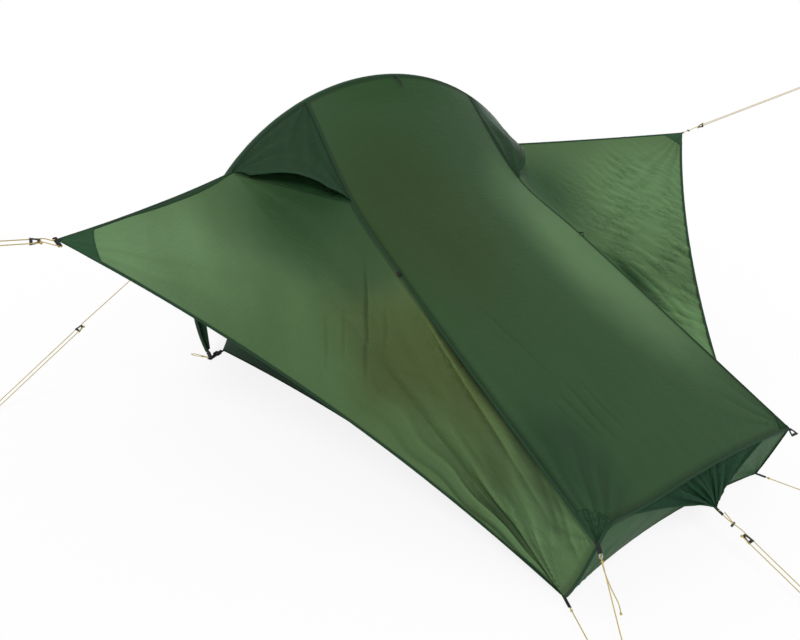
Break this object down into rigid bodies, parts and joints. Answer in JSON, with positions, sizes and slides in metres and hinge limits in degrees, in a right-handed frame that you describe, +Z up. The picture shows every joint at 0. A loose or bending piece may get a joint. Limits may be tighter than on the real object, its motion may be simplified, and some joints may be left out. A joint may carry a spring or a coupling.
{
  "type": "two-person tent",
  "caption": "Low tapering tunnel tent on a single cross hoop, with both side doors guyed out as awnings, hooded vents by the hoop and a separate inner tent.",
  "frame": {"origin": "on the underside of the groundsheet, straight below the middle of the hoop", "axes": "+Z up, -Y towards the foot end, +Y towards the head end, +X towards the right side seen from the foot end looking to the head end"},
  "size_m": [3.5196, 2.8768, 1.0836],
  "materials": {
    "roof_cloth": "dark green coated ripstop, satin, slightly translucent",
    "awning_cloth": "mid green coated ripstop, satin, lit through",
    "side_cloth": "green coated ripstop, satin",
    "dark_cloth": "dark green reinforced fabric",
    "net": "black insect net",
    "inner_cloth": "olive inner tent fabric, matt",
    "tub_cloth": "dark coated groundsheet",
    "alloy": "anodised tube",
    "elastic": "braided elastic cord",
    "black_plastic": "moulded black plastic",
    "webbing": "black woven webbing",
    "zip": "coil zip on dark tape",
    "guy_cord": "pale yellow braided cord"
  },
  "bodies": {
    "tent": {"hoop_pole_1": "alloy", "hoop_pole_2": "alloy", "hoop_pole_3": "alloy", "hoop_pole_4": "alloy", "hoop_pole_5": "alloy", "hoop_pole_6": "alloy", "hoop_pole_7": "alloy", "hoop_pole_8": "alloy", "hoop_shock_cord": "elastic", "pole_cup_left": "black_plastic", "pole_cup_right": "black_plastic", "hoop_sleeve": "dark_cloth", "fly_roof_foot": "roof_cloth", "fly_roof_head": "roof_cloth", "fly_side_foot_left": "side_cloth", "fly_side_foot_right": "side_cloth", "fly_side_head_left": "side_cloth", "fly_side_head_right": "side_cloth", "fly_end_foot": "side_cloth", "fly_end_head": "side_cloth", "foot_vent_gusset": "dark_cloth", "vent_net_left": "net", "vent_net_right": "net", "vent_hood_left": "dark_cloth", "vent_hood_right": "dark_cloth", "corner_strut_foot_left": "alloy", "corner_strut_foot_right": "alloy", "corner_strut_head_left": "alloy", "corner_strut_head_right": "alloy", "inner_tub_floor": "tub_cloth", "inner_side_left": "inner_cloth", "inner_side_right": "inner_cloth", "inner_canopy_foot": "inner_cloth", "inner_canopy_head": "inner_cloth", "door_zip_left": "zip", "door_zip_right": "zip", "base_strap_left": "webbing", "base_strap_right": "webbing", "leg_loop_left": "guy_cord", "hoop_guy_line": "guy_cord", "foot_guy_line": "guy_cord", "corner_line_left": "guy_cord", "corner_line_right": "guy_cord", "edge_line_left": "guy_cord", "edge_buckle_right": "black_plastic"},
    "left_awning": {"awning_left": "awning_cloth"},
    "right_awning": {"awning_right": "awning_cloth"},
    "left_tip_line": {"tip_line_left": "guy_cord"},
    "right_tip_line": {"tip_line_right": "guy_cord"},
    "left_tip_adjuster": {"tip_adjuster_left": "black_plastic"},
    "right_tip_adjuster": {"tip_adjuster_right": "black_plastic"},
    "hoop_line_adjuster": {"hoop_guy_adjuster": "black_plastic"},
    "foot_line_adjuster": {"foot_guy_adjuster": "black_plastic"},
    "left_brim": {"vent_brim_left": "dark_cloth"},
    "right_brim": {"vent_brim_right": "dark_cloth"},
    "left_slider": {"zip_slider_left": "black_plastic"},
    "right_slider": {"zip_slider_right": "black_plastic"},
    "left_inner_door": {"inner_door_left": "inner_cloth"},
    "right_inner_door": {"inner_door_right": "inner_cloth"}
  },
  "joints": [
    {"name": "left_awning_close", "type": "hinge", "parent": "tent", "child": "left_awning", "pos_m": [-0.68878, -0.02203, 0.74933], "axis": [0.1349, -0.892, -0.4314], "range_deg": [0, 84]},
    {"name": "right_awning_close", "type": "hinge", "parent": "tent", "child": "right_awning", "pos_m": [0.68898, -0.02208, 0.74938], "axis": [-0.1349, -0.892, -0.4314], "range_deg": [-94, 0]},
    {"name": "left_tip_line_swivel", "type": "hinge", "parent": "left_awning", "child": "left_tip_line", "pos_m": [-1.318, -0.441, 0.731], "axis": [0.1349, -0.892, -0.4314], "range_deg": [-84, 0]},
    {"name": "right_tip_line_swivel", "type": "hinge", "parent": "right_awning", "child": "right_tip_line", "pos_m": [1.294, -0.488, 0.849], "axis": [-0.1349, -0.892, -0.4314], "range_deg": [0, 94]},
    {"name": "left_tip_adjuster_slide", "type": "slide", "parent": "left_tip_line", "child": "left_tip_adjuster", "axis": [-0.9625, -0.2194, 0.1596], "range_m": [0, 0.08]},
    {"name": "right_tip_adjuster_slide", "type": "slide", "parent": "right_tip_line", "child": "right_tip_adjuster", "axis": [0.9051, -0.28, 0.32], "range_m": [0, 0.55]},
    {"name": "hoop_line_adjuster_slide", "type": "slide", "parent": "tent", "child": "hoop_line_adjuster", "axis": [-0.7906, 0.0202, -0.612], "range_m": [0, 0.34]},
    {"name": "foot_line_adjuster_slide", "type": "slide", "parent": "tent", "child": "foot_line_adjuster", "axis": [0.1566, -0.9091, -0.386], "range_m": [0, 0.21]},
    {"name": "left_brim_fold", "type": "hinge", "parent": "tent", "child": "left_brim", "pos_m": [-0.68849, -0.0225, 0.75039], "axis": [0.6346, -0.7653, -0.1075], "range_deg": [0, 38]},
    {"name": "right_brim_fold", "type": "hinge", "parent": "tent", "child": "right_brim", "pos_m": [0.68849, -0.0225, 0.75039], "axis": [-0.6346, -0.7653, -0.1075], "range_deg": [-38, 0]},
    {"name": "left_zip_run", "type": "hinge", "parent": "tent", "child": "left_slider", "pos_m": [-0.11955, 0, 0.25927], "axis": [0, -1, 0], "range_deg": [0, 53]},
    {"name": "right_zip_run", "type": "hinge", "parent": "tent", "child": "right_slider", "pos_m": [0.11955, 0, 0.25927], "axis": [0, 1, 0], "range_deg": [0, 53]},
    {"name": "left_inner_door_open", "type": "hinge", "parent": "tent", "child": "left_inner_door", "pos_m": [-0.67091, -0.05974, 0.15956], "axis": [0.2326, -0.9726, 0.0053], "range_deg": [-70, 0]},
    {"name": "right_inner_door_open", "type": "hinge", "parent": "tent", "child": "right_inner_door", "pos_m": [0.67091, -0.05974, 0.15956], "axis": [-0.2326, -0.9726, 0.0053], "range_deg": [0, 70]}
  ],
  "couplings": [
    {"joint": "left_tip_line_swivel", "follows": "left_awning_close", "ratio": -1},
    {"joint": "right_tip_line_swivel", "follows": "right_awning_close", "ratio": -1}
  ]
}
